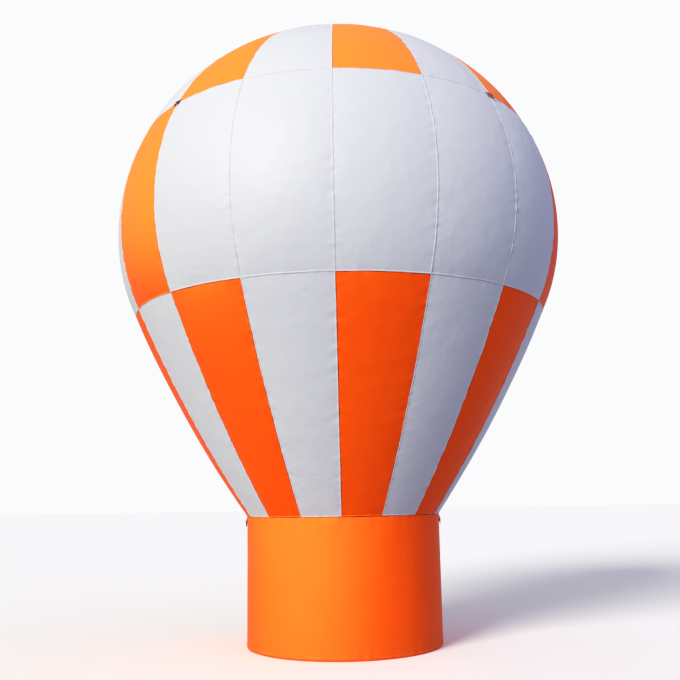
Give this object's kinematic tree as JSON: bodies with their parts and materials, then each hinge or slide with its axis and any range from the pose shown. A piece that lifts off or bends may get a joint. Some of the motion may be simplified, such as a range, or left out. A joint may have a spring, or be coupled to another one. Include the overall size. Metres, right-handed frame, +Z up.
{
  "type": "ground-standing advertising balloon",
  "caption": "Ground-standing cold-air advertising balloon with orange and white gores, a blank white banner band, a round base and a fan inside.",
  "frame": {"origin": "centre of the underside of the base's floor", "axes": "+Z up, -Y towards the front, the side with the blank banner in the picture"},
  "size_m": [4.3598, 4.3598, 6],
  "materials": {
    "orange_fabric": "satin coated nylon",
    "white_fabric": "satin coated nylon",
    "webbing": "woven polyester webbing and steel wire rings",
    "steel": "zinc plated",
    "black_paint": "satin",
    "grey_plastic": "fine moulded texture"
  },
  "bodies": {
    "balloon": {"banner_back": "white_fabric", "banner_front": "white_fabric", "base_floor": "orange_fabric", "base_wall_door_side": "orange_fabric", "base_wall_fan_side": "orange_fabric", "base_wall_front": "orange_fabric", "cable_gland": "grey_plastic", "crown_panel_00": "white_fabric", "crown_panel_01": "orange_fabric", "crown_panel_02": "white_fabric", "crown_panel_03": "orange_fabric", "crown_panel_04": "white_fabric", "crown_panel_05": "orange_fabric", "crown_panel_06": "white_fabric", "crown_panel_07": "orange_fabric", "crown_panel_08": "white_fabric", "crown_panel_09": "orange_fabric", "crown_panel_10": "white_fabric", "crown_panel_11": "orange_fabric", "crown_panel_12": "white_fabric", "crown_panel_13": "orange_fabric", "crown_panel_14": "white_fabric", "crown_panel_15": "orange_fabric", "crown_tie_0": "webbing", "crown_tie_1": "webbing", "crown_tie_2": "webbing", "crown_tie_3": "webbing", "fan_duct": "grey_plastic", "fan_guard": "steel", "fan_motor": "black_paint", "fan_stand": "steel", "lower_panel_00": "white_fabric", "lower_panel_01": "orange_fabric", "lower_panel_02": "white_fabric", "lower_panel_03": "orange_fabric", "lower_panel_04": "white_fabric", "lower_panel_05": "orange_fabric", "lower_panel_06": "white_fabric", "lower_panel_07": "orange_fabric", "lower_panel_08": "white_fabric", "lower_panel_09": "orange_fabric", "lower_panel_10": "white_fabric", "lower_panel_11": "orange_fabric", "lower_panel_12": "white_fabric", "lower_panel_13": "orange_fabric", "lower_panel_14": "white_fabric", "lower_panel_15": "orange_fabric", "neck_tie_0": "webbing", "neck_tie_1": "webbing", "top_cap": "orange_fabric", "upper_panel_00": "orange_fabric", "upper_panel_06": "orange_fabric", "upper_panel_07": "white_fabric", "upper_panel_08": "orange_fabric", "upper_panel_14": "orange_fabric", "upper_panel_15": "white_fabric"},
    "door": {"access_door": "orange_fabric"},
    "impeller": {"fan_impeller": "grey_plastic"}
  },
  "joints": [
    {"name": "door_hinge", "type": "hinge", "parent": "balloon", "child": "door", "pos_m": [0.89329, 0.23936, 0.58], "axis": [0, 0, -1], "range_deg": [0, 105]},
    {"name": "impeller_spin", "type": "hinge", "parent": "balloon", "child": "impeller", "pos_m": [0, 0.8, 0.44], "axis": [0, 1, 0], "continuous": true}
  ]
}
